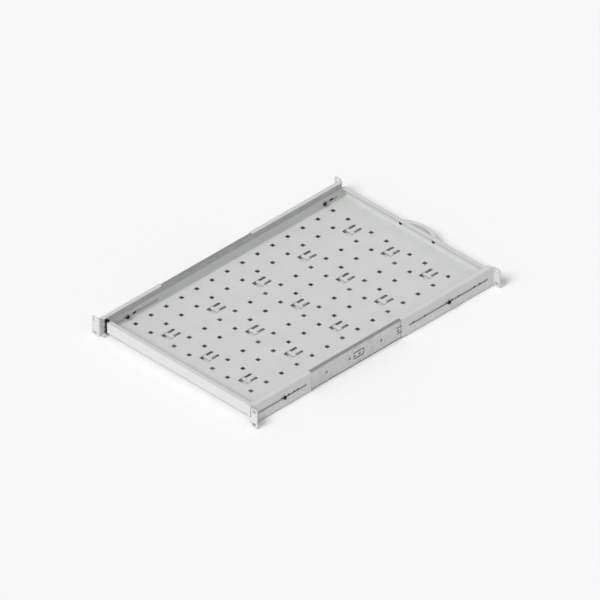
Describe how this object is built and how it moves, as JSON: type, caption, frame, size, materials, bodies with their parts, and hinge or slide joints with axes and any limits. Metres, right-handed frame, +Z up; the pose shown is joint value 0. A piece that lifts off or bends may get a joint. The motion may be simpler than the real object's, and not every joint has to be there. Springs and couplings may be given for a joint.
{
  "type": "sliding rack shelf",
  "caption": "Low perforated steel tray on telescopic ball slides, with slotted depth-adjustable brackets and ears that bolt it into a 19-inch rack; a bow handle pulls it forward.",
  "frame": {"origin": "middle of the four front rack slots, on the face of the front ears that meets the rack post", "axes": "+Z up, -Y to the front, where the handle is and the tray pulls out, +X to the right seen from the front"},
  "size_m": [0.4826, 0.7345, 0.048],
  "materials": {
    "light_grey_coat": "fine textured powder coat",
    "zinc_steel": "zinc-plated rolled steel",
    "cage_steel": "thin plated strip",
    "ball_steel": "polished bearing steel",
    "buffer_rubber": "black moulded rubber",
    "black_screw": "black oxide",
    "zinc_fixing": "zinc plated"
  },
  "bodies": {
    "front_brackets": {"front_bracket_left": "light_grey_coat", "front_bracket_right": "light_grey_coat"},
    "rails": {"outer_member_left": "zinc_steel", "outer_member_right": "zinc_steel", "slide_buffer_left": "buffer_rubber", "slide_buffer_right": "buffer_rubber", "front_clamp_screws": "black_screw", "front_clamp_washers": "zinc_fixing", "rear_clamp_screws": "black_screw", "rear_clamp_washers": "zinc_fixing"},
    "tray": {"tray": "light_grey_coat", "handle": "light_grey_coat", "handle_screws": "black_screw", "tray_bolts": "black_screw", "tray_washers": "zinc_fixing", "tray_nuts": "zinc_fixing", "inner_member_left": "zinc_steel", "inner_member_right": "zinc_steel"},
    "rear_bracket_left": {"rear_bracket_left": "light_grey_coat"},
    "middle_left": {"middle_member_left": "zinc_steel"},
    "outer_cage_left": {"outer_cage_left": "cage_steel", "outer_balls_left": "ball_steel"},
    "inner_cage_left": {"inner_cage_left": "cage_steel", "inner_balls_left": "ball_steel"},
    "rear_bracket_right": {"rear_bracket_right": "light_grey_coat"},
    "middle_right": {"middle_member_right": "zinc_steel"},
    "outer_cage_right": {"outer_cage_right": "cage_steel", "outer_balls_right": "ball_steel"},
    "inner_cage_right": {"inner_cage_right": "cage_steel", "inner_balls_right": "ball_steel"}
  },
  "joints": [
    {"name": "rail_depth", "type": "slide", "parent": "front_brackets", "child": "rails", "axis": [0, 1, 0], "range_m": [-0.11, 0.11]},
    {"name": "tray_slide", "type": "slide", "parent": "rails", "child": "tray", "axis": [0, -1, 0], "range_m": [0, 0.65]},
    {"name": "rear_left_depth", "type": "slide", "parent": "rails", "child": "rear_bracket_left", "axis": [0, 1, 0], "range_m": [-0.08, 0.061]},
    {"name": "middle_left_slide", "type": "slide", "parent": "rails", "child": "middle_left", "axis": [0, -1, 0], "range_m": [0, 0.326]},
    {"name": "outer_cage_left_slide", "type": "slide", "parent": "rails", "child": "outer_cage_left", "axis": [0, -1, 0], "range_m": [0, 0.1635]},
    {"name": "inner_cage_left_slide", "type": "slide", "parent": "rails", "child": "inner_cage_left", "axis": [0, -1, 0], "range_m": [0, 0.4885]},
    {"name": "rear_right_depth", "type": "slide", "parent": "rails", "child": "rear_bracket_right", "axis": [0, 1, 0], "range_m": [-0.08, 0.061]},
    {"name": "middle_right_slide", "type": "slide", "parent": "rails", "child": "middle_right", "axis": [0, -1, 0], "range_m": [0, 0.326]},
    {"name": "outer_cage_right_slide", "type": "slide", "parent": "rails", "child": "outer_cage_right", "axis": [0, -1, 0], "range_m": [0, 0.1635]},
    {"name": "inner_cage_right_slide", "type": "slide", "parent": "rails", "child": "inner_cage_right", "axis": [0, -1, 0], "range_m": [0, 0.4885]}
  ],
  "couplings": [
    {"joint": "middle_left_slide", "follows": "tray_slide", "ratio": 0.5},
    {"joint": "outer_cage_left_slide", "follows": "tray_slide", "ratio": 0.25},
    {"joint": "inner_cage_left_slide", "follows": "tray_slide", "ratio": 0.75},
    {"joint": "middle_right_slide", "follows": "tray_slide", "ratio": 0.5},
    {"joint": "outer_cage_right_slide", "follows": "tray_slide", "ratio": 0.25},
    {"joint": "inner_cage_right_slide", "follows": "tray_slide", "ratio": 0.75}
  ]
}
